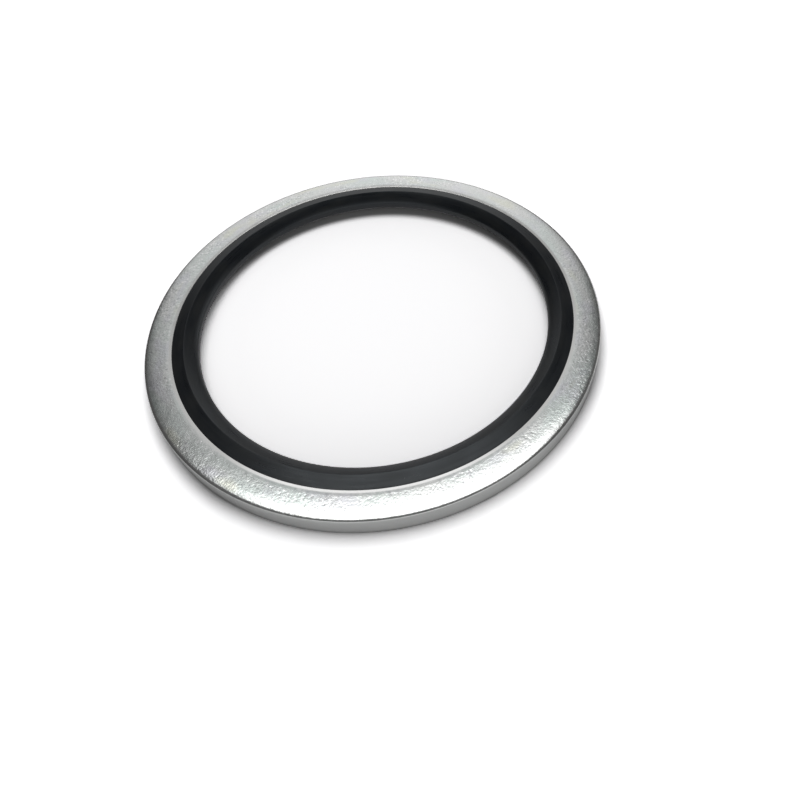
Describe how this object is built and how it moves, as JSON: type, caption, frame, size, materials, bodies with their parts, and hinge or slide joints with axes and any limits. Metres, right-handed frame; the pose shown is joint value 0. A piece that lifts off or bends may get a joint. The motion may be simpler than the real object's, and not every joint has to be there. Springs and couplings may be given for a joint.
{
  "type": "bonded sealing washer",
  "caption": "Flat zinc-plated steel sealing washer with a black rubber ring bonded into its bore and a raised lip on each face.",
  "frame": {"origin": "on the washer's axis, at the level where the lower lip of the seal touches a surface", "axes": "+Z along the washer's axis, towards the face whose rim edge is rounded less; the washer is round, so +X is any radius"},
  "size_m": [0.039, 0.039, 0.0022],
  "materials": {
    "steel_ring": "tumbled bright zinc plate",
    "rubber_seal": "moulded satin black"
  },
  "bodies": {
    "root": {"steel_ring": "steel_ring", "rubber_seal": "rubber_seal"}
  },
  "joints": []
}
